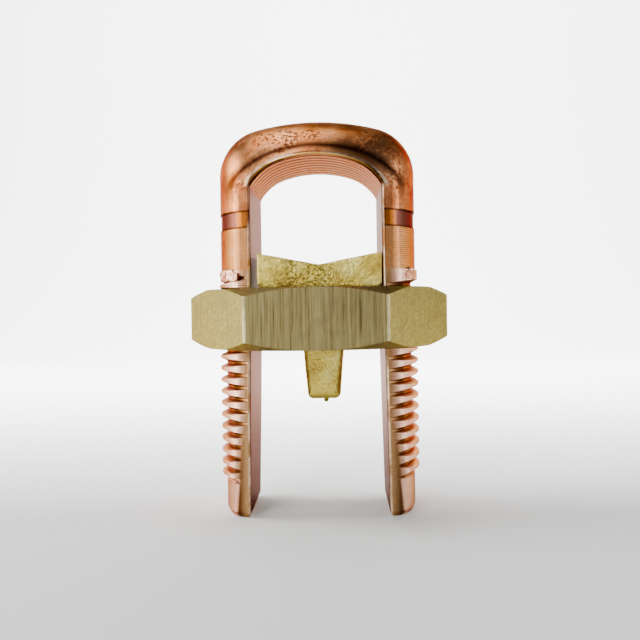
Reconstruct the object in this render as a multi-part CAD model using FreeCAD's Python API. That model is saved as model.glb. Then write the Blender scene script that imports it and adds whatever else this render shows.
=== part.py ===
"""Split-bolt grounding clamp: a copper bolt bent into a U, a brass hex nut that runs on both of its
threaded legs, and a brass pressure bar that the nut pushes up the slot against the conductors.

Frame, in millimetres: +Z is up, towards the arch, and Z = 0 is the plane of the two leg tips.
X runs from leg to leg and Y runs along the conductors. The origin is midway between the tips.
"""
import FreeCAD, Part
import math
import os

from FreeCAD import Vector

# ---- driving dimensions -------------------------------------------------------------------------
INCH = 25.4
HEIGHT = 70.8                     # tips to the crown of the arch
SLOT_HALF = 11.35                 # half the gap between the legs, at the pressure bar
THREAD_PITCH = INCH / 12          # 1 7/16 in - 12 thread, right-handed
CREST_R = 18.2                    # thread crests on the bolt
ROOT_R = 17.0                     # thread roots on the bolt
NUT_ACROSS_FLATS = 1.625 * INCH   # a 1 5/8 in spanner
NUT_HEIGHT = 10.5
NUT_TOP = 40.3                    # the nut's upper face at rest
# Half the groove's width at heights above its root: a rolled thread has round crests and roots.
GROOVE_SHAPE = ((0, 0.16), (0.15, 0.30), (0.85, 0.62), (1.1, 0.80), (1.3, 1.0))
NUT_MINOR_R = 17.36               # bore across the nut's thread crests
# The nut's own groove has straight flanks that clear the bolt's ridge all the way out.
NUT_GROOVE = ((16.86, 1.037), (18.4, 0.337))
CHAMFER_ANGLE = math.radians(25)  # on the nut's corners, above and below
CHAMFER_R = NUT_ACROSS_FLATS / 2  # where that chamfer meets the faces
CORNER_BREAK = 0.35               # width of the blunted line where two flats meet
COUNTERSINK_R = 18.7              # both mouths of the nut's bore

# ---- bar section of the bolt --------------------------------------------------------------------
SHANK_OUT = 17.85                 # axis to the outermost line of the turned shank
SHANK_ARC_R = 16.65               # radius of the turned outer face
CREST_ARC_R = 16.1                # radius that the rolled crests follow; they fade out sideways
PILOT_OUT = 17.35                 # axis to the outermost line of the plain tips
PILOT_ARC_R = 16.15
FACET_DISTANCE = 16.65            # axis to each of the four corner facets
FACET_ANGLE = math.radians(56.3)  # their normals, measured from the X axis
INNER_ROUND = 0.45                # rounding along the slot's edges
EDGE_BLEND = 0.8                  # length over which a facet blends into the outer face

# ---- levels along the legs ----------------------------------------------------------------------
PILOT_TOP = 7.0
THREAD_TOP = 43.4
BAND_BOTTOM = 50.9                # a narrow turned relief under the forged arch
BAND_TOP = 53.7
BAND_DEPTH = 0.18
SPRING_Z = 57.9                   # where the legs end and the arch begins
SLOT_FLARE_TOP = 43.4             # below this the slot widens towards the tips
SLOT_HALF_AT_TIPS = 12.2
LEAD_IN_TOP = 18.0                # below this the corner facets close in
LEAD_IN_ANGLE = math.radians(4.3)
TIP_ROUND = 0.9
TIP_INSET = 0.45

# ---- arch: crown and shoulder arcs, outside and inside ------------------------------------------
OUTER_CROWN_R = 45.0
OUTER_CROWN_HALF_ANGLE = math.radians(14.2)
CROWN_THICKNESS = 7.7
INNER_CROWN_R = 19.8
INNER_CROWN_HALF_ANGLE = math.radians(19.0)
CROWN_HALF_WIDTH = 13.3           # the bar spreads at the inside of the bend
CROWN_EDGE_HEIGHT = 3.1           # inner face to the corner line, at the crown
ARCH_STATIONS = 8                 # sections between each leg and the crown

# ---- pressure bar -------------------------------------------------------------------------------
HEAD_LENGTH = 21.45               # along X, between the legs
HEAD_SHIFT = 0.47                 # it rests towards the +X leg
HEAD_HALF_DEPTH = 13.0            # along Y
HEAD_END_HEIGHT = 6.1
HEAD_MIDDLE_HEIGHT = 4.0          # at the bottom of the V
HEAD_SEAT_GAP = 0.02              # film of air between the bar and the nut
HEAD_FOOT_ROUND = 0.8             # along the bottom of both ends
HEAD_EDGE_ROUND = 0.25            # every other edge of the ends
STEM_OFFSET = 0.4                 # the stem sits off the middle of the head
STEM_TOP_SIZE = (9.3, 13.0)       # X and Y where it leaves the head
STEM_TIP_SIZE = (5.9, 9.8)
STEM_TIP_Z = 20.3
STEM_TIP_ROUND = 1.1
PIP_R = 0.5                       # stub left where the casting was cut from its sprue
PIP_LENGTH = 1.0
PIP_OFFSET = 0.3

OVERLAP = 1.0                     # how far cutting tools reach past what they cut
UP = Vector(0, 0, 1)


def fused(shapes):
    """One solid from several that touch or overlap."""
    whole = shapes[0].multiFuse(shapes[1:])
    return whole.removeSplitter()


def both_legs(leg):
    """The leg at +X together with its mirror image at -X."""
    return [leg, leg.mirror(Vector(), Vector(1, 0, 0))]


# ================================ the bolt =======================================================
def outline_points(outer, arc_r, inner, facet_distance):
    """Corners of a leg's section in (distance from the axis, Y): inner corner and facet corner."""
    nx, ny = math.cos(FACET_ANGLE), math.sin(FACET_ANGLE)
    inner_y = (facet_distance - inner * nx) / ny
    centre = outer - arc_r
    # The facet line meets the outer arc where both equations hold; the far root is the corner.
    along = Vector(-ny, nx, 0)
    foot = Vector(nx, ny, 0) * facet_distance - Vector(centre, 0, 0)
    b = foot.dot(along)
    c = foot.dot(foot) - arc_r ** 2
    corner = foot - along * (b + math.sqrt(b * b - c))
    return inner_y, corner.x + centre, corner.y


def section_wire(place, thickness, half_width, edge_height, edge_half):
    """Closed D-shaped section of the bar. place(u, y) puts a point u above the inner face in space."""
    arc_r = (edge_half ** 2 + (thickness - edge_height) ** 2) / (2 * (thickness - edge_height))
    centre_u = thickness - arc_r
    facet = Vector(edge_height, edge_half - half_width, 0)
    facet_unit = facet * (1 / facet.Length)

    # rounding where the inner face meets the facet
    turn = math.acos(facet_unit.y)
    reach = INNER_ROUND * math.tan(turn / 2)
    corner = Vector(0, half_width, 0)
    inner_end = Vector(0, half_width - reach, 0)
    facet_start = corner + facet_unit * reach
    bisector = (inner_end + facet_start) * 0.5 - corner
    corner_gap = INNER_ROUND / math.cos(turn / 2) - INNER_ROUND
    inner_mid = corner + bisector * (corner_gap / bisector.Length)

    # blend between the facet and the outer arc
    edge = Vector(edge_height, edge_half, 0)
    facet_end = edge - facet_unit * EDGE_BLEND
    edge_angle = math.atan2(edge_half, edge_height - centre_u)
    arc_angle = edge_angle - EDGE_BLEND / arc_r
    arc_start = Vector(centre_u + arc_r * math.cos(arc_angle), arc_r * math.sin(arc_angle), 0)
    tangent = Vector(math.sin(arc_angle), -math.cos(arc_angle), 0)
    bend = facet_unit.getAngle(tangent)
    inward = (facet_end + arc_start) * 0.5 - edge
    edge_mid = edge + inward * (EDGE_BLEND * bend / 4 / inward.Length)

    def at(p, side):
        return place(p.x, side * p.y)

    return Part.Wire([
        Part.LineSegment(at(inner_end, -1), at(inner_end, 1)).toShape(),
        Part.Arc(at(inner_end, 1), at(inner_mid, 1), at(facet_start, 1)).toShape(),
        Part.LineSegment(at(facet_start, 1), at(facet_end, 1)).toShape(),
        Part.Arc(at(facet_end, 1), at(edge_mid, 1), at(arc_start, 1)).toShape(),
        Part.Arc(at(arc_start, 1), place(thickness, 0), at(arc_start, -1)).toShape(),
        Part.Arc(at(arc_start, -1), at(edge_mid, -1), at(facet_end, -1)).toShape(),
        Part.LineSegment(at(facet_end, -1), at(facet_start, -1)).toShape(),
        Part.Arc(at(facet_start, -1), at(inner_mid, -1), at(inner_end, -1)).toShape(),
    ])


def slot_half_at(z):
    """Half the gap between the legs, which widens towards the tips."""
    return SLOT_HALF + (SLOT_HALF_AT_TIPS - SLOT_HALF) * max(0, SLOT_FLARE_TOP - z) / SLOT_FLARE_TOP


def facet_distance_at(z):
    """Axis to the corner facets, which close in towards the tips."""
    return FACET_DISTANCE - math.tan(LEAD_IN_ANGLE) * max(0, LEAD_IN_TOP - z)


def leg_wire(outer, arc_r, z, inset=0):
    """Section of the +X leg at height z, with its outline pulled in by inset."""
    slot_half = slot_half_at(z) + inset
    inner_y, edge_x, edge_y = outline_points(outer - inset, arc_r - inset, slot_half,
                                             facet_distance_at(z) - inset)

    def place(u, y):
        return Vector(slot_half + u, y, z)

    return section_wire(place, outer - inset - slot_half, inner_y, edge_x - slot_half, edge_y)


def leg_length(outer, arc_r, bottom, top):
    """A length of the +X leg whose section does not change."""
    return Part.Face(leg_wire(outer, arc_r, bottom)).extrude(Vector(0, 0, top - bottom))


def arch_point(top, crown_r, crown_half_angle, shoulder_r, angle):
    """Point of a three-centred arch where its normal stands at angle from the vertical, towards +X."""
    crown_z = top - crown_r
    if angle <= crown_half_angle:
        return Vector(crown_r * math.sin(angle), 0, crown_z + crown_r * math.cos(angle))
    reach = crown_r - shoulder_r
    centre_x = reach * math.sin(crown_half_angle)
    centre_z = crown_z + reach * math.cos(crown_half_angle)
    return Vector(centre_x + shoulder_r * math.sin(angle), 0, centre_z + shoulder_r * math.cos(angle))


def along_arch(share, top, crown_r, crown_half_angle, shoulder_r, end_angle):
    """Point at a share of the way from the top of the +X leg, at SPRING_Z, to the crown."""
    end = arch_point(top, crown_r, crown_half_angle, shoulder_r, end_angle)
    straight = end.z - SPRING_Z
    shoulder = shoulder_r * (end_angle - crown_half_angle)
    done = share * (straight + shoulder + crown_r * crown_half_angle) - straight
    if done < 0:
        return end + UP * done
    if done < shoulder:
        angle = end_angle - done / shoulder_r
    else:
        angle = crown_half_angle - (done - shoulder) / crown_r
    return arch_point(top, crown_r, crown_half_angle, shoulder_r, max(angle, 0))


def arch():
    """The bent part: D-shaped sections that lean round the arch from leg to leg."""
    outer_shoulder_r = ((SHANK_OUT - OUTER_CROWN_R * math.sin(OUTER_CROWN_HALF_ANGLE))
                        / (1 - math.sin(OUTER_CROWN_HALF_ANGLE)))
    outer_arch = (HEIGHT, OUTER_CROWN_R, OUTER_CROWN_HALF_ANGLE, outer_shoulder_r, math.radians(90))
    # The inner shoulder arc is the one that passes through the end of the leg's inner face.
    inner_top = HEIGHT - CROWN_THICKNESS
    sine, cosine = math.sin(INNER_CROWN_HALF_ANGLE), math.cos(INNER_CROWN_HALF_ANGLE)
    joint = Vector(INNER_CROWN_R * sine, 0, inner_top - INNER_CROWN_R + INNER_CROWN_R * cosine)
    end = Vector(SLOT_HALF, 0, SPRING_Z)
    inward = Vector(-sine, 0, -cosine)
    chord = end - joint
    inner_shoulder_r = chord.Length ** 2 / (2 * chord.dot(inward))
    centre = joint + inward * inner_shoulder_r
    inner_end_angle = math.atan2(end.x - centre.x, end.z - centre.z)
    inner_arch = (inner_top, INNER_CROWN_R, INNER_CROWN_HALF_ANGLE, inner_shoulder_r, inner_end_angle)

    leg_half_width, edge_x, edge_half = outline_points(SHANK_OUT, SHANK_ARC_R, SLOT_HALF, FACET_DISTANCE)
    leg_edge_height = edge_x - SLOT_HALF
    wires = []
    for station in range(-ARCH_STATIONS, ARCH_STATIONS + 1):
        side = -1 if station < 0 else 1
        share = 1 - abs(station) / ARCH_STATIONS
        inner = along_arch(share, *inner_arch)
        outer = along_arch(share, *outer_arch)
        out = outer - inner
        out_unit = out * (1 / out.Length)
        crown = math.sin(share * math.pi / 2) ** 2
        half_width = leg_half_width + (CROWN_HALF_WIDTH - leg_half_width) * crown
        edge_height = leg_edge_height + (CROWN_EDGE_HEIGHT - leg_edge_height) * crown

        def place(u, y, side=side, inner=inner, out_unit=out_unit):
            point = inner + out_unit * u
            return Vector(side * point.x, y, point.z)

        wires.append(section_wire(place, out.Length, half_width, edge_height, edge_half))
    return Part.makeLoft(wires, True, False)


def helical_cutter(profile, start_z, turns):
    """Solid that a closed (radius, height) profile sweeps along a right-handed helix of this pitch."""
    radius = sum(r for r, _ in profile) / len(profile)
    helix = Part.makeLongHelix(THREAD_PITCH, turns * THREAD_PITCH, radius, 0)
    helix.translate(Vector(0, 0, start_z))
    points = [Vector(r, 0, start_z + h) for r, h in profile]
    wire = Part.makePolygon(points + points[:1])
    return Part.Wire(helix).makePipeShell([wire], True, True)


def groove_profile(radii_and_halves):
    """Closed outline of a groove, symmetrical about its middle."""
    lower = [(r, -half) for r, half in radii_and_halves]
    return lower + [(r, -half) for r, half in reversed(lower)]


def bolt_groove():
    """The helical groove rolled into both legs. It starts on +X, one pitch below the pilot's top."""
    shape = [(ROOT_R + height, half) for height, half in GROOVE_SHAPE]
    shape.append((CREST_R + OVERLAP, shape[-1][1]))
    start_z = PILOT_TOP - THREAD_PITCH
    turns = (THREAD_TOP - 0.4 * THREAD_PITCH - start_z) / THREAD_PITCH
    return helical_cutter(groove_profile(shape), start_z, turns)


def pilot():
    """The plain tip of the +X leg, with its end broken all round."""
    return Part.makeLoft([leg_wire(PILOT_OUT, PILOT_ARC_R, 0, TIP_INSET),
                          leg_wire(PILOT_OUT, PILOT_ARC_R, TIP_ROUND),
                          leg_wire(PILOT_OUT, PILOT_ARC_R, PILOT_TOP)], True, True)


def split_bolt():
    """The U: arch, turned shanks, threaded lengths and plain tips, all one piece of copper."""
    groove = bolt_groove()
    threaded = Part.makeLoft([leg_wire(CREST_R, CREST_ARC_R, z)
                              for z in (PILOT_TOP, LEAD_IN_TOP, THREAD_TOP)], True, True)
    lengths = [
        leg_length(SHANK_OUT, SHANK_ARC_R, THREAD_TOP, BAND_BOTTOM),
        leg_length(SHANK_OUT - BAND_DEPTH, SHANK_ARC_R - BAND_DEPTH / 2, BAND_BOTTOM, BAND_TOP),
        leg_length(SHANK_OUT, SHANK_ARC_R, BAND_TOP, SPRING_Z),
    ]
    solids = [arch()]
    for length in lengths:
        solids += both_legs(length)
    for length in both_legs(threaded) + both_legs(pilot()):
        solids.append(length.cut(groove))
    return fused(solids)


# ================================ the nut ========================================================
def hex_nut():
    """Hexagonal brass nut with a flat to the front and back, chamfered on both faces."""
    corner_r = NUT_ACROSS_FLATS / math.sqrt(3)
    bottom = NUT_TOP - NUT_HEIGHT
    corners = [Vector(corner_r * math.cos(math.radians(a)), corner_r * math.sin(math.radians(a)), bottom)
               for a in range(0, 360, 60)]
    hexagon = Part.Face(Part.makePolygon(corners + corners[:1])).extrude(UP * NUT_HEIGHT)
    uprights = [edge for edge in hexagon.Edges if edge.BoundBox.ZLength > NUT_HEIGHT / 2]
    hexagon = hexagon.makeChamfer(CORNER_BREAK / math.sqrt(3), uprights)
    far_r = corner_r + OVERLAP
    drop = (far_r - CHAMFER_R) * math.tan(CHAMFER_ANGLE)
    half = [
        Vector(0, 0, bottom), Vector(CHAMFER_R, 0, bottom), Vector(far_r, 0, bottom + drop),
        Vector(far_r, 0, NUT_TOP - drop), Vector(CHAMFER_R, 0, NUT_TOP), Vector(0, 0, NUT_TOP),
    ]
    envelope = Part.Face(Part.makePolygon(half + half[:1])).revolve(Vector(), UP, 360)
    body = hexagon.common(envelope)

    bore = Part.makeCylinder(NUT_MINOR_R, NUT_HEIGHT + 2 * OVERLAP, Vector(0, 0, bottom - OVERLAP))
    body = body.cut(bore)
    depth = COUNTERSINK_R - NUT_MINOR_R + OVERLAP
    sink = Part.makeCone(COUNTERSINK_R + OVERLAP, NUT_MINOR_R, depth, Vector(0, 0, bottom - OVERLAP))
    sink_top = sink.mirror(Vector(0, 0, bottom + NUT_HEIGHT / 2), UP)
    body = body.cut([sink, sink_top])

    # The nut's groove takes the bolt's ridge, half a pitch above the bolt's own groove.
    bolt_start = PILOT_TOP - THREAD_PITCH
    steps = math.floor((bottom - bolt_start) / THREAD_PITCH) - 1
    start_z = bolt_start + (steps + 0.5) * THREAD_PITCH
    turns = math.ceil((NUT_TOP - start_z) / THREAD_PITCH) + 1
    return body.cut(helical_cutter(groove_profile(NUT_GROOVE), start_z, turns))


# ================================ the pressure bar ===============================================
def head_prism(points):
    """The head's outline, drawn in X and Z, carried through its depth along Y."""
    prism = Part.Face(Part.makePolygon(points + points[:1])).extrude(Vector(0, 2 * HEAD_HALF_DEPTH, 0))
    prism.translate(Vector(0, -HEAD_HALF_DEPTH, 0))
    return prism


def rounded_rectangle(size, z, radius):
    """Closed wire of a rectangle with round corners, centred on the stem."""
    half_x, half_y = size[0] / 2, size[1] / 2
    face = Part.makePlane(size[0], size[1], Vector(-half_x, -half_y, z))
    prism = face.extrude(UP)
    uprights = [edge for edge in prism.Edges if edge.BoundBox.ZLength > 0.5]
    prism = prism.makeFillet(radius, uprights)
    base = min(prism.Faces, key=lambda f: f.CenterOfMass.z)
    return base.OuterWire


def pressure_bar():
    """Cast T: a head with a shallow V on top, and a tapered stem that keeps it centred in the nut."""
    seat = NUT_TOP + HEAD_SEAT_GAP
    half = HEAD_LENGTH / 2
    outline = [
        Vector(-half, 0, seat), Vector(half, 0, seat), Vector(half, 0, seat + HEAD_END_HEIGHT),
        Vector(0, 0, seat + HEAD_MIDDLE_HEIGHT), Vector(-half, 0, seat + HEAD_END_HEIGHT),
    ]
    head = head_prism(outline)
    ends = [edge for edge in head.Edges if edge.BoundBox.XLength < 1e-3]
    feet = [edge for edge in ends if edge.BoundBox.ZMax < seat + 1e-3]
    head = head.makeFillet(HEAD_FOOT_ROUND, feet)
    rims = [edge for edge in head.Edges if edge.BoundBox.XLength < 1e-3 and edge.BoundBox.ZMax > seat + 1]
    head = head.makeFillet(HEAD_EDGE_ROUND, rims)

    top = rounded_rectangle(STEM_TOP_SIZE, seat + OVERLAP, 1.5)
    tip = rounded_rectangle(STEM_TIP_SIZE, STEM_TIP_Z, 1.5)
    stem = Part.makeLoft([tip, top], True, True)
    rim = [edge for edge in stem.Edges if edge.BoundBox.ZMax < STEM_TIP_Z + 1e-3]
    stem = stem.makeFillet(STEM_TIP_ROUND, rim)
    pip = Part.makeCylinder(PIP_R, PIP_LENGTH + OVERLAP, Vector(PIP_OFFSET, 0, STEM_TIP_Z - PIP_LENGTH))
    for shape in (stem, pip):
        shape.translate(Vector(STEM_OFFSET, 0, 0))
    bar = fused([head, stem, pip])
    bar.translate(Vector(HEAD_SHIFT, 0, 0))
    return bar


def main():
    os.makedirs("parts", exist_ok=True)
    for name, make in (("split_bolt", split_bolt), ("hex_nut", hex_nut), ("pressure_bar", pressure_bar)):
        shape = make()
        solids = shape.Solids
        print(name, "solids", len(solids), "valid", shape.isValid(), "volume", round(shape.Volume, 1))
        shape = solids[0] if len(solids) == 1 else Part.Compound(solids)
        shape.exportStep(f"parts/{name}.step")


main()
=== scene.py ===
"""Split-bolt ground clamp, standing on its leg tips: a copper U-bolt, a brass hex nut on both legs
and a cast brass pressure bar between them. Metres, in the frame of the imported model."""

import math

import bpy
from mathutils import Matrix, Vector


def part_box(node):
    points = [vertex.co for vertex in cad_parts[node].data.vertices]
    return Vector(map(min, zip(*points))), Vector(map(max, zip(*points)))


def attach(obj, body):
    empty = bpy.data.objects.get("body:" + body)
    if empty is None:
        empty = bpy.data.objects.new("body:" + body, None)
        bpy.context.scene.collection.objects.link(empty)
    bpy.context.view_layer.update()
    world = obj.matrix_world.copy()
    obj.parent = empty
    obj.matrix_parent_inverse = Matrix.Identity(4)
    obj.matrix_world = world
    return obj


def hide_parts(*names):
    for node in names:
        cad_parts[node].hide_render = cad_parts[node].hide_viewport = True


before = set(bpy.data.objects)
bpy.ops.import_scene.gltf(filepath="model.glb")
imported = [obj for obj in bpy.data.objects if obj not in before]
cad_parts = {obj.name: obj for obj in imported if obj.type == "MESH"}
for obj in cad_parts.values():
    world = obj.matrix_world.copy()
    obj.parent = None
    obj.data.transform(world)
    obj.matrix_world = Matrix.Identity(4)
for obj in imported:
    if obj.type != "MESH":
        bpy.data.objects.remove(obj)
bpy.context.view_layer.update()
MM = 0.001

# ==================================================================================================
# Camera. It stands a little to the right of the clamp and just above its middle, close enough for
# the near faces to look larger, and leans about one degree.
# ==================================================================================================
CAMERA_AT = Vector((3.9, -172.3, 37.3)) * MM
LOOKS_AT = Vector((0.2, 0, 34.5)) * MM
LENS_MM = 52.3
LEAN = math.radians(-0.9)

bpy.ops.object.select_all(action="DESELECT")
bpy.ops.object.camera_add(location=CAMERA_AT)
camera = bpy.context.object
aim = (LOOKS_AT - CAMERA_AT).to_track_quat("-Z", "Y").to_matrix().to_4x4()
lean = aim.Rotation(LEAN, 4, "Z")
camera.rotation_euler = (aim @ lean).to_euler()
camera.data.lens = LENS_MM
camera.data.sensor_width = 36
camera.data.clip_start = 0.005
bpy.context.scene.camera = camera

# ==================================================================================================
# Studio. One seamless pale sheet is the floor and, curving up behind the clamp, the backdrop.
# Soft boxes stand left, right, above and in front, in dim air that lets metal show dark edges.
# ==================================================================================================


def linear(hex_colour):
    """An sRGB hex colour as linear red, green, blue and alpha."""
    channels = [int(hex_colour[i:i + 2], 16) / 255 for i in (1, 3, 5)]
    return [c / 12.92 if c <= 0.04045 else ((c + 0.055) / 1.055) ** 2.4 for c in channels] + [1]


def add_node(material, kind, settings, output=0):
    """Adds one node and returns one of its outputs. A setting is a property, a socket's value or an
    output to link into a socket. stops are a colour ramp's positions and colours, in order.
    Sockets by number: a Map Range has value 0, from 1 to 2, and to 3 to 4, and a colour Mix has
    share 0 and the colours 6 and 7."""
    node = material.node_tree.nodes.new("ShaderNode" + kind)
    for name, value in settings.items():
        if name == "stops":
            elements = node.color_ramp.elements
            elements.remove(elements[1])
            elements[0].position = value[0][0]
            for position, _ in value[1:]:
                elements.new(position)
            for element, (_, colour) in zip(elements, value):
                element.color = linear(colour)
        elif isinstance(value, bpy.types.NodeSocket):
            material.node_tree.links.new(value, node.inputs[name])
        elif isinstance(name, str) and hasattr(node, name):
            setattr(node, name, value)
        else:
            node.inputs[name].default_value = value
    return node.outputs[output] if node.outputs else node


def new_material(name):
    """A material with no nodes yet."""
    material = bpy.data.materials.new(name)
    material.use_nodes = True
    material.node_tree.nodes.clear()
    return material


FLOOR_HALF = 0.9
SWEEP_START = 0.5
SWEEP_R = 0.35
SWEEP_RISE = 0.2
SWEEP_STEPS = 24
STRIP = 5 * MM                    # beside the curve, to keep its smooth shading off the flat parts

bpy.ops.mesh.primitive_plane_add(size=2 * FLOOR_HALF, location=(0, SWEEP_START - FLOOR_HALF, 0))
sheet = bpy.context.object
sheet.name = "paper_sweep"
bpy.ops.object.transform_apply(location=True, rotation=True, scale=True)
bpy.ops.object.mode_set(mode="EDIT")
bpy.ops.mesh.select_mode(type="EDGE")
bpy.ops.mesh.select_all(action="DESELECT")
bpy.ops.object.mode_set(mode="OBJECT")
for edge in sheet.data.edges:
    edge.select = all(sheet.data.vertices[v].co.y > SWEEP_START - MM for v in edge.vertices)
bpy.ops.object.mode_set(mode="EDIT")
bpy.ops.mesh.spin(steps=SWEEP_STEPS, angle=math.radians(-90), center=(0, SWEEP_START, SWEEP_R),
                  axis=(1, 0, 0))
bpy.ops.mesh.extrude_region_move(TRANSFORM_OT_translate={"value": (0, 0, SWEEP_RISE)})
bpy.ops.mesh.select_all(action="SELECT")
bpy.ops.mesh.bisect(plane_co=(0, SWEEP_START - STRIP, 0), plane_no=(0, 1, 0))
bpy.ops.mesh.select_all(action="SELECT")
bpy.ops.mesh.bisect(plane_co=(0, 0, SWEEP_R + STRIP), plane_no=(0, 0, 1))
bpy.ops.mesh.select_all(action="SELECT")
bpy.ops.mesh.normals_make_consistent(inside=False)
bpy.ops.object.mode_set(mode="OBJECT")
bpy.ops.object.shade_smooth()

# Matt background paper: no gloss, so it shows only as an even pale field.
paper = new_material("matt_background_paper")
paper_shader = add_node(paper, "BsdfPrincipled", {
    "Base Color": linear("#F6F6F5"), "Roughness": 0.9, "Specular IOR Level": 0.1})
add_node(paper, "OutputMaterial", {"Surface": paper_shader})
sheet.data.materials.append(paper)


def soft_box(name, at, aim_at, size, watts):
    """A rectangular area light that faces a point. size is its width and height."""
    at, aim_at = Vector(at), Vector(aim_at)
    bpy.ops.object.light_add(type="AREA", location=at)
    light = bpy.context.object
    light.name = name
    light.rotation_euler = (aim_at - at).to_track_quat("-Z", "Y").to_euler()
    light.data.shape = "RECTANGLE"
    light.data.size, light.data.size_y = size
    light.data.energy = watts


MIDDLE = (0, 0, 35 * MM)
soft_box("soft_box_left", at=(-0.42, 0.06, 0.15), aim_at=MIDDLE, size=(0.26, 0.36), watts=2.6)
soft_box("soft_box_right", at=(0.42, 0.02, 0.14), aim_at=MIDDLE, size=(0.14, 0.30), watts=0.7)
soft_box("soft_box_top", at=(-0.10, 0.06, 0.44), aim_at=MIDDLE, size=(0.34, 0.24), watts=0.95)
soft_box("soft_box_front", at=(-0.20, -0.46, 0.26), aim_at=MIDDLE, size=(0.16, 0.16), watts=1.6)
# this one faces the backdrop, with the clamp behind it, and leaves the metal in dimmer light
soft_box("sheet_light", at=(0, 0.20, 0.40), aim_at=(0, 0.86, 0.05), size=(1.0, 0.16), watts=34)

AIR_STRENGTH = 0.07
world = bpy.data.worlds.new("studio_air")
bpy.context.scene.world = world
world.use_nodes = True
air = world.node_tree.nodes["Background"]
air.inputs["Color"].default_value = linear("#FFFFFF")
air.inputs["Strength"].default_value = AIR_STRENGTH

# ==================================================================================================
# Copper split bolt. Half-round bar of pure copper, hot-forged into a U, its legs turned and then
# threaded by rolling. The arch keeps its forged skin; a dark relief runs between the two.
# ==================================================================================================
PILOT_TOP = 6.9 * MM
THREAD_TOP = 43.4 * MM
BAND_BOTTOM = 50.9 * MM
BAND_TOP = 53.7 * MM
SLOT_HALF = 11.35 * MM            # at the bar; SLOT_FLARE wider at the tips
SLOT_FLARE = 0.85 * MM
AXIS_TO_FACET = 16.65 * MM
FACET_NORMAL = (0.555, 0.832, 0)
ROOT_R = 17.0 * MM
ARCH_SPRING = 57.3 * MM           # the inside of the arch is near an ellipse
ARCH_HALF = (11.35 * MM, 5.8 * MM)
ARCH_OUTER_HALF = (17.85 * MM, 13.5 * MM)
CREASE_BOTTOM = 55.0 * MM         # where the crease starts, is full, and begins and ends its drop
CREASE_FULL = 59.5 * MM
DROP_FROM = 59 * MM
DROP_TO = 66 * MM
EDGE_STEP = 0.05 * MM             # a sharp change from one finish to the next
SLOT_SKIN = (0.06 * MM, 0.16 * MM)    # how far the slot face's colour turns the corner
EDGE_HIGHLIGHT_WIDTH = (0.35 * MM, 0.55 * MM)   # the painted highlight line beside the slot ends between these
RELIEF_SHADE_LINE = (0.10 * MM, 0.26 * MM)  # half the painted shade line at each edge of the relief
ROOT_SHADE_DEPTH = (0.10 * MM, 0.70 * MM)  # the painted root shade is full below the first height over the root
FACETS_FROM_Y = (7.5 * MM, 8.5 * MM)  # front and back start between these
CLOUD = 5 * MM                    # sizes of the uneven colour, the grit and the pitted patches
SPECKLE = 0.65 * MM
PITTED_PATCH = 7 * MM
FEED_LINES = 0.34 * MM            # the turning tool's marks, coarser than the real ones
FLOW_LINES = 2.9 * MM             # where the bar's grain was stretched round the inside of the bend
WAVE = math.pi / 10               # a wave texture's spacing at scale 1
COPPER_EDGE = "#82582E"           # how bright the metal is where it is seen edge on

# Pure copper, hot-forged, and turned below the arch: a warm metal, satin where it was forged, with
# dark oxide left in pits, painted shade in the creases and thread roots, painted highlights along
# edges, and pinker and brighter where a tool has been.
copper = new_material("forged_and_turned_copper")
place = add_node(copper, "TexCoord", {}, "Object")
height = add_node(copper, "SeparateXYZ", {0: place}, "Z")
# one quarter stands for all four: distances across and along the conductors, always positive
folded = add_node(copper, "VectorMath", {"operation": "ABSOLUTE", 0: place})
across = add_node(copper, "SeparateXYZ", {0: folded}, "X")
depth = add_node(copper, "SeparateXYZ", {0: folded}, "Y")

# where on the bolt a point is, each from 0 to 1
forged = add_node(copper, "MapRange", {
    0: height, 1: BAND_TOP - EDGE_STEP, 2: BAND_TOP + 2 * EDGE_STEP})
above_relief = add_node(copper, "MapRange", {
    0: height, 1: BAND_BOTTOM - EDGE_STEP, 2: BAND_BOTTOM + EDGE_STEP})
in_relief = add_node(copper, "Math", {"operation": "SUBTRACT", 0: above_relief, 1: forged})
threaded = add_node(copper, "MapRange", {
    0: height, 1: THREAD_TOP + 2 * EDGE_STEP, 2: THREAD_TOP - 2 * EDGE_STEP})
past_pilot = add_node(copper, "MapRange", {0: height, 1: PILOT_TOP - 0.5 * MM, 2: PILOT_TOP})

flare = add_node(copper, "MapRange", {
    0: height, 1: THREAD_TOP, 2: 0.0, 3: SLOT_HALF, 4: SLOT_HALF + SLOT_FLARE})
from_slot = add_node(copper, "Math", {"operation": "SUBTRACT", 0: across, 1: flare})
below_arch = add_node(copper, "MapRange", {0: height, 1: ARCH_SPRING + MM, 2: ARCH_SPRING})
slot_face = add_node(copper, "MapRange", {0: from_slot, 1: SLOT_SKIN[1], 2: SLOT_SKIN[0]})
slot_face = add_node(copper, "Math", {"operation": "MULTIPLY", 0: slot_face, 1: below_arch})

from_facet = add_node(copper, "VectorMath", {
    "operation": "DOT_PRODUCT", 0: folded, 1: FACET_NORMAL}, "Value")
on_facet = add_node(copper, "MapRange", {
    0: from_facet, 1: AXIS_TO_FACET - 0.25 * MM, 2: AXIS_TO_FACET - 0.05 * MM})
flat_place = add_node(copper, "VectorMath", {"operation": "MULTIPLY", 0: place, 1: (1, 1, 0)})
from_axis = add_node(copper, "VectorMath", {"operation": "LENGTH", 0: flat_place}, "Value")

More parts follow.
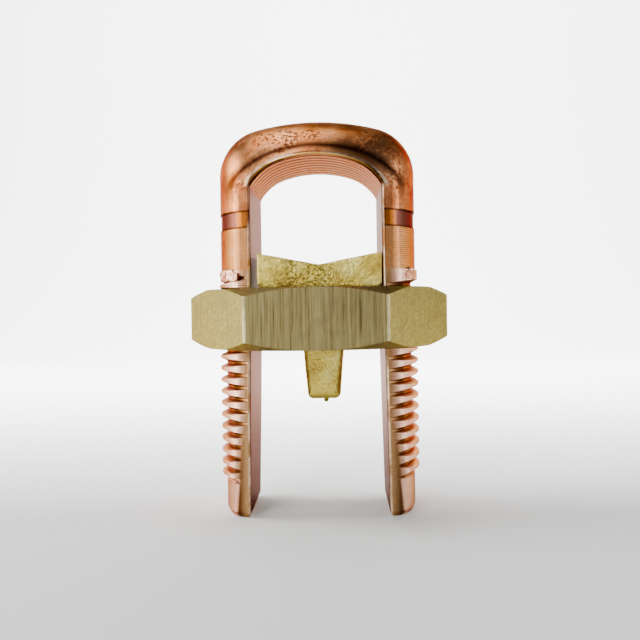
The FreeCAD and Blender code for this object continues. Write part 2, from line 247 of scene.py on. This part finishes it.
# in the arch: 1 on the ellipse of its inside, and more further out
arch_place = add_node(copper, "VectorMath", {
    "operation": "SUBTRACT", 0: place, 1: (0, 0, ARCH_SPRING)})
arch_place = add_node(copper, "VectorMath", {
    "operation": "MULTIPLY", 0: arch_place, 1: (1 / ARCH_HALF[0], 0, 1 / ARCH_HALF[1])})
ring = add_node(copper, "VectorMath", {"operation": "LENGTH", 0: arch_place}, "Value")
outer_place = add_node(copper, "VectorMath", {
    "operation": "MULTIPLY", 0: arch_place,
    1: (ARCH_HALF[0] / ARCH_OUTER_HALF[0], 0, ARCH_HALF[1] / ARCH_OUTER_HALF[1])})
outer_ring = add_node(copper, "VectorMath", {"operation": "LENGTH", 0: outer_place}, "Value")
in_arch = add_node(copper, "MapRange", {0: height, 1: ARCH_SPRING, 2: ARCH_SPRING + 0.8 * MM})
arch_inside = add_node(copper, "MapRange", {0: ring, 1: 1.09, 2: 1.05})
arch_inside = add_node(copper, "Math", {"operation": "MULTIPLY", 0: arch_inside, 1: in_arch})

# forged skin: warm tan, cloudy, with small dark pits that gather in patches
clouds = add_node(copper, "TexNoise", {
    "Vector": place, "Scale": 1 / CLOUD, "Detail": 4, "Roughness": 0.6})
speckle = add_node(copper, "TexNoise", {
    "Vector": place, "Scale": 1 / SPECKLE, "Detail": 5, "Roughness": 0.65})
pits = add_node(copper, "MapRange", {0: speckle, 1: 0.52, 2: 0.64})
patchy = add_node(copper, "TexNoise", {"Vector": place, "Scale": 1 / PITTED_PATCH, "Detail": 3})
patchy = add_node(copper, "MapRange", {0: patchy, 1: 0.46, 2: 0.64})
pits = add_node(copper, "Math", {"operation": "MULTIPLY", 0: pits, 1: patchy})
forged_tone = add_node(copper, "ValToRGB", {
    0: clouds, "stops": [(0.32, "#AC6238"), (0.50, "#D98C5A"), (0.68, "#F0A874")]})
forged_tone = add_node(copper, "Mix", {
    "data_type": "RGBA", 0: pits, 6: forged_tone, 7: linear("#6A3A1E")}, 2)

# turned lengths: paler, ringed by the tool's feed lines
feed = add_node(copper, "TexWave", {
    "Vector": place, "bands_direction": "Z", "Scale": WAVE / FEED_LINES, "Distortion": 1.2,
    "Detail": 3, "Detail Scale": 1.5}, "Fac")
turned_tone = add_node(copper, "ValToRGB", {
    0: clouds, "stops": [(0.30, "#CC8850"), (0.70, "#ECB27C")]})
feed_share = add_node(copper, "Math", {"operation": "MULTIPLY", 0: feed, 1: 0.55})
turned_tone = add_node(copper, "Mix", {
    "data_type": "RGBA", 0: feed_share, 6: turned_tone, 7: linear("#7E4422")}, 2)
# painted shade: the corner facets of the turned lengths are darkened towards brown
turned_facet_shade = add_node(copper, "Math", {"operation": "MULTIPLY", 0: on_facet, 1: 0.6})
turned_tone = add_node(copper, "Mix", {
    "data_type": "RGBA", 0: turned_facet_shade, 6: turned_tone, 7: linear("#A0683A")}, 2)
colour = add_node(copper, "Mix", {
    "data_type": "RGBA", 0: forged, 6: turned_tone, 7: forged_tone}, 2)

# the relief: painted reflection, dark purple-brown round the outside and orange on the corner
# facets, and painted shade as a dark line at both edges
relief_painted_reflection = add_node(copper, "Mix", {
    "data_type": "RGBA", 0: on_facet, 6: linear("#8A5A4E"), 7: linear("#A65E24")}, 2)
colour = add_node(copper, "Mix", {"data_type": "RGBA", 0: in_relief, 6: colour, 7: relief_painted_reflection}, 2)
for edge in (BAND_BOTTOM, BAND_TOP):
    from_edge = add_node(copper, "Math", {"operation": "SUBTRACT", 0: height, 1: edge})
    from_edge = add_node(copper, "Math", {"operation": "ABSOLUTE", 0: from_edge})
    relief_edge_shade = add_node(copper, "MapRange", {
        0: from_edge, 1: RELIEF_SHADE_LINE[1], 2: RELIEF_SHADE_LINE[0], 4: 0.8})
    colour = add_node(copper, "Mix", {
        "data_type": "RGBA", 0: relief_edge_shade, 6: colour, 7: linear("#3A1C10")}, 2)

# threads: pink where the rolls burnished the crests, and painted shade, olive-brown, down in the
# roots
root_shade = add_node(copper, "MapRange", {
    0: from_axis, 1: ROOT_R + ROOT_SHADE_DEPTH[1], 2: ROOT_R + ROOT_SHADE_DEPTH[0]})
root_shade = add_node(copper, "Math", {"operation": "MULTIPLY", 0: root_shade, 1: past_pilot})
thread_tone = add_node(copper, "ValToRGB", {
    0: clouds, "stops": [(0.30, "#EEB496"), (0.70, "#FFD0B4")]})
thread_tone = add_node(copper, "Mix", {
    "data_type": "RGBA", 0: root_shade, 6: thread_tone, 7: linear("#A87850")}, 2)
colour = add_node(copper, "Mix", {"data_type": "RGBA", 0: threaded, 6: colour, 7: thread_tone}, 2)

# corner facets beside the threads: painted shading across them, darkest where the threads run out
# and light toward the slot
facet_shade = add_node(copper, "MapRange", {0: from_slot, 1: 0.5 * MM, 2: 2.0 * MM})
facet_painted_shading = add_node(copper, "Mix", {
    "data_type": "RGBA", 0: facet_shade, 6: linear("#C89A68"), 7: linear("#54361C")}, 2)
feed_share = add_node(copper, "Math", {"operation": "MULTIPLY", 0: feed, 1: 0.35})
facet_painted_shading = add_node(copper, "Mix", {
    "data_type": "RGBA", 0: feed_share, 6: facet_painted_shading, 7: linear("#4A2A14")}, 2)
low_facet = add_node(copper, "MapRange", {
    0: from_axis, 1: ROOT_R + 0.25 * MM, 2: ROOT_R - 0.05 * MM})
low_facet = add_node(copper, "Math", {"operation": "MULTIPLY", 0: low_facet, 1: threaded})
front_or_back = add_node(copper, "MapRange", {0: depth, 1: FACETS_FROM_Y[0], 2: FACETS_FROM_Y[1]})
low_facet = add_node(copper, "Math", {"operation": "MULTIPLY", 0: low_facet, 1: front_or_back})
colour = add_node(copper, "Mix", {"data_type": "RGBA", 0: low_facet, 6: colour, 7: facet_painted_shading}, 2)

# painted shade along the crease where the arch's round outside meets its facets. It runs half way
# across the bar at the legs and drops to the inner edge at the crown.
from_inner = add_node(copper, "Math", {"operation": "SUBTRACT", 0: ring, 1: 1.0})
from_outer = add_node(copper, "Math", {"operation": "SUBTRACT", 0: 1.0, 1: outer_ring})
bar_width = add_node(copper, "Math", {"operation": "ADD", 0: from_inner, 1: from_outer})
across_bar = add_node(copper, "Math", {"operation": "DIVIDE", 0: from_inner, 1: bar_width})
crease_drop = add_node(copper, "MapRange", {0: height, 1: DROP_FROM, 2: DROP_TO, 4: 0.26})
across_bar = add_node(copper, "Math", {"operation": "ADD", 0: across_bar, 1: crease_drop})
across_bar = add_node(copper, "Math", {
    "operation": "MULTIPLY_ADD", 0: clouds, 1: 0.10, 2: across_bar})
crease_shade = add_node(copper, "MapRange", {0: across_bar, 1: 0.46, 2: 0.66})
crease_end = add_node(copper, "MapRange", {0: across_bar, 1: 0.94, 2: 0.72})
in_bend = add_node(copper, "MapRange", {0: height, 1: CREASE_BOTTOM, 2: CREASE_FULL})
for limit in (crease_end, in_bend, front_or_back):
    crease_shade = add_node(copper, "Math", {"operation": "MULTIPLY", 0: crease_shade, 1: limit})
colour = add_node(copper, "Mix", {
    "data_type": "RGBA", 0: crease_shade, 6: colour, 7: linear("#4E2E20")}, 2)

# inside of the bend: the bar's grain shows as lines that follow it round, orange between them
flow = add_node(copper, "TexWave", {
    "Vector": place, "bands_direction": "Y", "Scale": WAVE / FLOW_LINES, "Distortion": 1.5,
    "Detail": 3, "Detail Scale": 0.6}, "Fac")
flow_tone = add_node(copper, "ValToRGB", {
    0: flow, "stops": [(0.15, "#42240C"), (0.5, "#94601E"), (0.9, "#E4AE5E")]})
colour = add_node(copper, "Mix", {"data_type": "RGBA", 0: arch_inside, 6: colour, 7: flow_tone}, 2)
# the slot's faces were sheared and rubbed: pinkish grey
colour = add_node(copper, "Mix", {
    "data_type": "RGBA", 0: slot_face, 6: colour, 7: linear("#846058")}, 2)
# painted highlight: the edges of the slot and of the arch are painted bright in places, where light
# would catch them
slot_edge = add_node(copper, "MapRange", {0: from_slot, 1: SLOT_SKIN[0], 2: SLOT_SKIN[1]})
slot_edge_end = add_node(copper, "MapRange", {0: from_slot, 1: EDGE_HIGHLIGHT_WIDTH[1], 2: EDGE_HIGHLIGHT_WIDTH[0]})
for limit in (slot_edge_end, below_arch):
    slot_edge = add_node(copper, "Math", {"operation": "MULTIPLY", 0: slot_edge, 1: limit})
arch_edge = add_node(copper, "MapRange", {0: ring, 1: 1.04, 2: 1.06})
arch_edge_end = add_node(copper, "MapRange", {0: ring, 1: 1.13, 2: 1.09})
for limit in (arch_edge_end, in_arch):
    arch_edge = add_node(copper, "Math", {"operation": "MULTIPLY", 0: arch_edge, 1: limit})
edge_highlight = add_node(copper, "Math", {"operation": "MAXIMUM", 0: slot_edge, 1: arch_edge})
edge_highlight_places = add_node(copper, "MapRange", {0: clouds, 1: 0.40, 2: 0.56, 4: 0.9})
for limit in (front_or_back, edge_highlight_places):
    edge_highlight = add_node(copper, "Math", {"operation": "MULTIPLY", 0: edge_highlight, 1: limit})
colour = add_node(copper, "Mix", {"data_type": "RGBA", 0: edge_highlight, 6: colour, 7: linear("#FFDDB8")}, 2)

# relief of the surface, in parts of BUMP_DEPTH
BUMP_DEPTH = 0.10 * MM
off_slot = add_node(copper, "Math", {"operation": "SUBTRACT", 0: 1.0, 1: slot_face})
turned_share = add_node(copper, "Math", {
    "operation": "SUBTRACT", 0: off_slot, 1: above_relief, "use_clamp": True})
lines = add_node(copper, "Math", {"operation": "MULTIPLY", 0: feed, 1: turned_share})
lines = add_node(copper, "Math", {"operation": "MULTIPLY", 0: lines, 1: 0.35})
pit_depth = add_node(copper, "Math", {"operation": "MULTIPLY", 0: pits, 1: forged})
pit_depth = add_node(copper, "Math", {"operation": "MULTIPLY", 0: pit_depth, 1: off_slot})
surface = add_node(copper, "Math", {"operation": "SUBTRACT", 0: lines, 1: pit_depth})
flow_depth = add_node(copper, "Math", {"operation": "MULTIPLY", 0: flow, 1: arch_inside})
surface = add_node(copper, "Math", {"operation": "ADD", 0: surface, 1: flow_depth})
surface = add_node(copper, "Math", {"operation": "MULTIPLY_ADD", 0: speckle, 1: 0.35, 2: surface})
bump = add_node(copper, "Bump", {"Strength": 0.8, "Distance": BUMP_DEPTH, "Height": surface})
rough = add_node(copper, "MapRange", {0: speckle, 3: 0.24, 4: 0.40})
copper_shader = add_node(copper, "BsdfPrincipled", {
    "Metallic": 1.0, "Specular Tint": linear(COPPER_EDGE), "Base Color": colour,
    "Roughness": rough, "Normal": bump})
add_node(copper, "OutputMaterial", {"Surface": copper_shader})
bolt_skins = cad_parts["split_bolt"].data.materials
bolt_skins.clear()
bolt_skins.append(copper)

# ==================================================================================================
# Torn thread starts. Where the thread rolls left the shank they lifted flakes of copper, front and
# back on each leg, just above the nut. They are part of the bolt and stay with it.
# ==================================================================================================
SHANK_ARC_R = 16.65 * MM
SHANK_ARC_CENTRE = 1.2 * MM
FLAKE_BOTTOM = 41.6 * MM
FLAKE_TOP = 43.7 * MM
FLAKE_FROM = math.radians(17)
FLAKE_ARC = math.radians(15)
LONG_FLAKE_ARC = math.radians(25)    # this one folded down over the end of the groove
FLAKE_LIFT = 0.42 * MM
FLAKE_VOXEL = 0.09 * MM
FLAKE_STEPS = 8
TONGUE_REACH = 1.3 * MM
TONGUE_SQUASH = 0.7
TEAR = 1.6 * MM                   # size of the tears in the colour, their lumps and their height
TEAR_LUMP = 1.3 * MM
TEAR_LIFT = 0.45 * MM


def select(mesh_object, wanted, kind="vertices"):
    """Selects what wanted(centre) says, in edit mode, and nothing else."""
    bpy.ops.object.mode_set(mode="EDIT")
    bpy.ops.mesh.select_mode(type={"vertices": "VERT", "edges": "EDGE", "faces": "FACE"}[kind])
    bpy.ops.mesh.select_all(action="DESELECT")
    bpy.ops.object.mode_set(mode="OBJECT")
    points = mesh_object.data.vertices
    for part in getattr(mesh_object.data, {"faces": "polygons"}.get(kind, kind)):
        if kind == "vertices":
            centre = part.co
        else:
            centre = sum((points[v].co for v in part.vertices), Vector()) / len(part.vertices)
        part.select = bool(wanted(centre))
    bpy.ops.object.mode_set(mode="EDIT")


def finish_with(mesh_object, kind, **settings):
    """Adds a modifier with its settings and applies it."""
    bpy.ops.object.mode_set(mode="OBJECT")
    bpy.ops.object.select_all(action="DESELECT")
    mesh_object.select_set(True)
    bpy.context.view_layer.objects.active = mesh_object
    modifier = mesh_object.modifiers.new(kind.lower(), kind)
    for name, value in settings.items():
        setattr(modifier, name, value)
    bpy.ops.object.modifier_apply(modifier=modifier.name)


# Torn copper, pink, with painted shade, dark red, in the hollows of the tears and a painted
# highlight, near white, on the raised lumps.
torn_copper = new_material("torn_copper")
place = add_node(torn_copper, "TexCoord", {}, "Object")
tears = add_node(torn_copper, "TexNoise", {"Vector": place, "Scale": 1 / TEAR, "Detail": 4})
tone = add_node(torn_copper, "ValToRGB", {
    0: tears, "stops": [(0.36, "#6A3424"), (0.46, "#D8967A"), (0.60, "#FAD4BC")]})
bump = add_node(torn_copper, "Bump", {"Strength": 0.8, "Distance": 0.12 * MM, "Height": tears})
rough = add_node(torn_copper, "MapRange", {0: tears, 3: 0.45, 4: 0.28})
torn_shader = add_node(torn_copper, "BsdfPrincipled", {
    "Metallic": 1.0, "Specular Tint": linear(COPPER_EDGE), "Base Color": tone,
    "Roughness": rough, "Normal": bump})
add_node(torn_copper, "OutputMaterial", {"Surface": torn_shader})

tear_shape = bpy.data.textures.new("tear_shape", "CLOUDS")
tear_shape.noise_scale = TEAR_LUMP
for name, side, first, turn in (
        ("torn_start_right_front", 1, -FLAKE_FROM, -FLAKE_ARC),
        ("torn_start_right_back", 1, FLAKE_FROM, FLAKE_ARC),
        ("torn_start_left_front", -1, FLAKE_FROM, LONG_FLAKE_ARC),
        ("torn_start_left_back", -1, -FLAKE_FROM, -FLAKE_ARC)):
    centre = Vector((side * SHANK_ARC_CENTRE, 0, 0))
    out = Vector((side * math.cos(first), side * math.sin(first), 0))
    # the flake's section, from inside the shank to a little proud of it, spun along the arc
    bpy.ops.object.select_all(action="DESELECT")
    bpy.ops.mesh.primitive_plane_add(size=1)
    flake = bpy.context.object
    flake.name = name
    flake.scale = (3 * FLAKE_LIFT, FLAKE_TOP - FLAKE_BOTTOM, 1)
    flake.rotation_euler = (math.radians(90), 0, math.atan2(out.y, out.x))
    middle_height = Vector((0, 0, (FLAKE_TOP + FLAKE_BOTTOM) / 2))
    flake.location = centre + out * (SHANK_ARC_R - 0.5 * FLAKE_LIFT) + middle_height
    bpy.ops.object.transform_apply(location=True, rotation=True, scale=True)
    bpy.ops.object.mode_set(mode="EDIT")
    bpy.ops.mesh.select_all(action="SELECT")
    bpy.ops.mesh.spin(steps=FLAKE_STEPS, angle=-turn, center=centre, axis=(0, 0, 1))
    bpy.ops.mesh.select_all(action="SELECT")
    bpy.ops.mesh.normals_make_consistent(inside=False)
    # its far end is torn down to a tongue
    last_out = Vector((side * math.cos(first + turn), side * math.sin(first + turn), 0))
    last = centre + last_out * SHANK_ARC_R
    select(flake, lambda p: (p.xy - last.xy).length < TONGUE_REACH)
    bpy.ops.transform.resize(value=(1, 1, TONGUE_SQUASH),
                             center_override=(last.x, last.y, FLAKE_BOTTOM))
    finish_with(flake, "REMESH", mode="VOXEL", voxel_size=FLAKE_VOXEL, use_smooth_shade=True)
    finish_with(flake, "SMOOTH", factor=0.6, iterations=3)
    finish_with(flake, "DISPLACE", texture=tear_shape, texture_coords="LOCAL", strength=TEAR_LIFT,
                mid_level=0.55)
    flake.data.materials.append(torn_copper)
    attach(flake, "bolt")

# ==================================================================================================
# Brass hex nut. Cut from drawn bar, so fine streaks run along its axis on the flats; its two faces
# are turned and its corners chamfered.
# ==================================================================================================
nut_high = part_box("hex_nut")[1]
FLAT_HALF = nut_high.y
STREAK = 0.32 * MM                # width of one drawing streak; the real ones are finer
STREAK_STRETCH = 0.025            # a streak is forty times as long as it is wide
STAIN = 4 * MM
SPECK = 0.5 * MM
CORNER_HIGHLIGHT_WANDER = 0.3 * MM            # how far the painted corner highlight wanders

# Drawn free-cutting brass: olive-gold and satin, scored along the axis by the die, dull where the
# skin is untouched, with a painted highlight along the corners.
nut_brass = new_material("drawn_brass_bar")
place = add_node(nut_brass, "TexCoord", {}, "Object")
along = add_node(nut_brass, "Mapping", {"Vector": place, "Scale": (1, 1, STREAK_STRETCH)})
streaks = add_node(nut_brass, "TexNoise", {
    "Vector": along, "Scale": 1 / STREAK, "Detail": 5, "Roughness": 0.7})
stains = add_node(nut_brass, "TexNoise", {"Vector": place, "Scale": 1 / STAIN, "Detail": 3})
specks = add_node(nut_brass, "TexNoise", {"Vector": place, "Scale": 1 / SPECK, "Detail": 3})
tone = add_node(nut_brass, "ValToRGB", {
    0: streaks, "stops": [(0.32, "#5E5030"), (0.46, "#9C8C5A"), (0.70, "#C2B27C")]})
# the flats to the front and back show their streaks, and the other four are duller and even
flat_depth = add_node(nut_brass, "SeparateXYZ", {0: place}, "Y")
flat_depth = add_node(nut_brass, "Math", {"operation": "ABSOLUTE", 0: flat_depth})
other_flats = add_node(nut_brass, "MapRange", {
    0: flat_depth, 1: FLAT_HALF - 0.1 * MM, 2: FLAT_HALF - 0.3 * MM, 4: 0.75})
even_tone = add_node(nut_brass, "ValToRGB", {
    0: specks, "stops": [(0.3, "#6E6444"), (0.5, "#8C8056"), (0.7, "#A69A6C")]})
tone = add_node(nut_brass, "Mix", {"data_type": "RGBA", 0: other_flats, 6: tone, 7: even_tone}, 2)
stain_share = add_node(nut_brass, "MapRange", {0: stains, 1: 0.55, 2: 0.75, 4: 0.4})
tone = add_node(nut_brass, "Mix", {
    "data_type": "RGBA", 0: stain_share, 6: tone, 7: linear("#7A6C50")}, 2)
# painted highlight on the six blunted corners, well out from the axis
flat_place = add_node(nut_brass, "VectorMath", {"operation": "MULTIPLY", 0: place, 1: (1, 1, 0)})
from_axis = add_node(nut_brass, "VectorMath", {"operation": "LENGTH", 0: flat_place}, "Value")
corner_highlight_place = add_node(nut_brass, "Math", {
    "operation": "MULTIPLY_ADD", 0: stains, 1: CORNER_HIGHLIGHT_WANDER, 2: from_axis})
corner_highlight = add_node(nut_brass, "MapRange", {
    0: corner_highlight_place, 1: nut_high.x + 0.04 * MM, 2: nut_high.x + 0.14 * MM})
tone = add_node(nut_brass, "Mix", {
    "data_type": "RGBA", 0: corner_highlight, 6: tone, 7: linear("#F0E2A8")}, 2)
score = add_node(nut_brass, "Math", {"operation": "MULTIPLY_ADD", 0: specks, 1: 0.5, 2: streaks})
bump = add_node(nut_brass, "Bump", {"Strength": 0.6, "Distance": 0.05 * MM, "Height": score})
rough = add_node(nut_brass, "MapRange", {0: stains, 3: 0.34, 4: 0.48})
nut_shader = add_node(nut_brass, "BsdfPrincipled", {
    "Metallic": 1.0, "Specular Tint": linear("#A89C68"), "Base Color": tone,
    "Roughness": rough, "Normal": bump})
add_node(nut_brass, "OutputMaterial", {"Surface": nut_shader})
nut_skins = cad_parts["hex_nut"].data.materials
nut_skins.clear()
nut_skins.append(nut_brass)

# ==================================================================================================
# Brass pressure bar. Cast in one piece and left as it came from the mould: soft edges, a pebbled
# skin, and the stub of the runner still on the end of its stem. It rests on the nut.
# ==================================================================================================
bar_low, bar_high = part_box("pressure_bar")
SEAT = nut_high.z + 0.02 * MM         # just off the nut's face
V_BOTTOM = SEAT + 4.0 * MM
V_MIDDLE = (bar_low.x + bar_high.x) / 2
STEM_MIDDLE = V_MIDDLE + 0.4 * MM
STEM_HALF = (4.6 * MM, 6.5 * MM)      # where the stem leaves the head
STEM_TIP_HALF = (2.95 * MM, 4.9 * MM)
STEM_TIP = bar_low.z + 1.0 * MM
STUB_R = 0.5 * MM
STUB_SHIFT = 0.3 * MM
BAR_VOXEL = 0.24 * MM
END_ROUND = 0.8 * MM
TIP_ROUND = 1.1 * MM
STEM_ROUND = 1.2 * MM
STEM_SIDE = (3.8 * MM, 5.7 * MM)      # the stem's long edges half way down
NEAR = 0.1 * MM
GRIT = 0.55 * MM                      # sizes of the cast skin's grains, colour patches and folds
TONE_PATCH = 5 * MM
FOLD = 1.8 * MM


def cut_across(at, normal):
    """Cuts the whole mesh in edit mode along a plane, keeping both sides."""
    bpy.ops.mesh.select_all(action="SELECT")
    bpy.ops.mesh.bisect(plane_co=at, plane_no=normal)


bpy.ops.object.select_all(action="DESELECT")
bpy.ops.mesh.primitive_cube_add(size=1)
cast_bar = bpy.context.object
cast_bar.name = "cast_bar"
cast_bar.scale = (bar_high.x - bar_low.x, bar_high.y - bar_low.y, bar_high.z - SEAT)
cast_bar.location = (V_MIDDLE, 0, (bar_high.z + SEAT) / 2)
bpy.ops.object.transform_apply(location=True, rotation=True, scale=True)

# the V: a cut across the middle, pulled down along the top
bpy.ops.object.mode_set(mode="EDIT")
cut_across((V_MIDDLE, 0, 0), (1, 0, 0))
select(cast_bar, lambda p: abs(p.x - V_MIDDLE) < NEAR and p.z > SEAT + MM)
bpy.ops.transform.translate(value=(0, 0, V_BOTTOM - bar_high.z))

# round the two bottom ends before the stem is drawn out
select(cast_bar, lambda p: p.z < SEAT + NEAR and abs(p.x - V_MIDDLE) > 8 * MM
       and abs(p.y) < MM, "edges")
bpy.ops.mesh.bevel(offset=END_ROUND, segments=4)

# the stem: a rectangle marked out on the underside and drawn down to a smaller one
for side in (-1, 1):
    cut_across((STEM_MIDDLE + side * STEM_HALF[0], 0, 0), (1, 0, 0))
    cut_across((0, side * STEM_HALF[1], 0), (0, 1, 0))
select(cast_bar, lambda p: p.z < SEAT + NEAR and abs(p.x - STEM_MIDDLE) < STEM_HALF[0]
       and abs(p.y) < STEM_HALF[1], "faces")
bpy.ops.mesh.extrude_region_move(TRANSFORM_OT_translate={"value": (0, 0, STEM_TIP - SEAT)})
bpy.ops.transform.resize(
    value=(STEM_TIP_HALF[0] / STEM_HALF[0], STEM_TIP_HALF[1] / STEM_HALF[1], 1),
    center_override=(STEM_MIDDLE, 0, STEM_TIP))
select(cast_bar, lambda p: p.z < STEM_TIP + NEAR
       and (abs(p.x - STEM_MIDDLE) > STEM_TIP_HALF[0] - NEAR
            or abs(p.y) > STEM_TIP_HALF[1] - NEAR), "edges")
bpy.ops.mesh.bevel(offset=TIP_ROUND, segments=5)
select(cast_bar, lambda p: STEM_TIP + 2 * MM < p.z < SEAT - 2 * MM
       and abs(abs(p.x - STEM_MIDDLE) - STEM_SIDE[0]) < 4 * NEAR
       and abs(abs(p.y) - STEM_SIDE[1]) < 4 * NEAR, "edges")
bpy.ops.mesh.bevel(offset=STEM_ROUND, segments=4)
# the stub of the runner
bpy.ops.mesh.primitive_cylinder_add(vertices=24, radius=STUB_R, depth=2 * (STEM_TIP - bar_low.z),
                                    location=(STEM_MIDDLE + STUB_SHIFT, 0, STEM_TIP))

# one cast skin over it all: remeshed, softened, and pebbled by two sizes of lump
finish_with(cast_bar, "REMESH", mode="VOXEL", voxel_size=BAR_VOXEL, use_smooth_shade=True)
finish_with(cast_bar, "SMOOTH", factor=0.6, iterations=3)
for name, lump, lift in (("mould_waves", 3.2 * MM, 0.14 * MM),
                         ("mould_pebbles", 0.9 * MM, 0.07 * MM)):
    lumps = bpy.data.textures.new(name, "CLOUDS")
    lumps.noise_scale = lump
    finish_with(cast_bar, "DISPLACE", texture=lumps, texture_coords="LOCAL", strength=lift,
                mid_level=0.62)
bpy.ops.object.shade_smooth()

# Cast yellow brass: bright and grainy, with brown left in the hollows between the grains and fine
# wrinkles, where two flows of metal met, in the middle of the head.
cast_brass = new_material("cast_yellow_brass")
WRINKLES_AT = (V_MIDDLE - 2 * MM, bar_low.y, SEAT + 2.2 * MM)
place = add_node(cast_brass, "TexCoord", {}, "Object")
grit = add_node(cast_brass, "TexNoise", {
    "Vector": place, "Scale": 1 / GRIT, "Detail": 5, "Roughness": 0.6})
patches = add_node(cast_brass, "TexNoise", {"Vector": place, "Scale": 1 / TONE_PATCH, "Detail": 2})
tone = add_node(cast_brass, "ValToRGB", {
    0: patches, "stops": [(0.34, "#CCAA4A"), (0.5, "#EACF5C"), (0.66, "#FFEE82")]})
hollows = add_node(cast_brass, "MapRange", {0: grit, 1: 0.46, 2: 0.26, 4: 0.6})
tone = add_node(cast_brass, "Mix", {
    "data_type": "RGBA", 0: hollows, 6: tone, 7: linear("#5A4716")}, 2)
from_wrinkles = add_node(cast_brass, "VectorMath", {
    "operation": "DISTANCE", 0: place, 1: WRINKLES_AT}, "Value")
wrinkled = add_node(cast_brass, "MapRange", {0: from_wrinkles, 1: 6.5 * MM, 2: 2.5 * MM})
folds = add_node(cast_brass, "TexNoise", {
    "Vector": place, "Scale": 1 / FOLD, "Detail": 2, "Distortion": 2.0})
folds = add_node(cast_brass, "Math", {"operation": "SUBTRACT", 0: folds, 1: 0.5})
folds = add_node(cast_brass, "Math", {"operation": "ABSOLUTE", 0: folds})
folds = add_node(cast_brass, "MapRange", {0: folds, 1: 0.05, 2: 0.0})
folds = add_node(cast_brass, "Math", {"operation": "MULTIPLY", 0: folds, 1: wrinkled})
fold_share = add_node(cast_brass, "Math", {"operation": "MULTIPLY", 0: folds, 1: 0.8})
tone = add_node(cast_brass, "Mix", {
    "data_type": "RGBA", 0: fold_share, 6: tone, 7: linear("#4A3A12")}, 2)
stem_height = add_node(cast_brass, "SeparateXYZ", {0: place}, "Z")
# painted shade: darker towards the stem's tip, where its rounded end turns away from the light
stem_tip_shade = add_node(cast_brass, "MapRange", {
    0: stem_height, 1: STEM_TIP + 1.3 * MM, 2: STEM_TIP + 0.2 * MM, 4: 0.75})
tone = add_node(cast_brass, "Mix", {
    "data_type": "RGBA", 0: stem_tip_shade, 6: tone, 7: linear("#5A4A18")}, 2)
skin_relief = add_node(cast_brass, "Math", {
    "operation": "MULTIPLY_ADD", 0: folds, 1: -0.6, 2: grit})
bump = add_node(cast_brass, "Bump", {"Strength": 1.0, "Distance": 0.22 * MM, "Height": skin_relief})
rough = add_node(cast_brass, "MapRange", {0: patches, 3: 0.24, 4: 0.38})
cast_shader = add_node(cast_brass, "BsdfPrincipled", {
    "Metallic": 1.0, "Specular Tint": linear("#E0D080"), "Base Color": tone,
    "Roughness": rough, "Normal": bump})
add_node(cast_brass, "OutputMaterial", {"Surface": cast_shader})
cast_bar.data.materials.append(cast_brass)
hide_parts("pressure_bar")
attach(cast_bar, "bar")
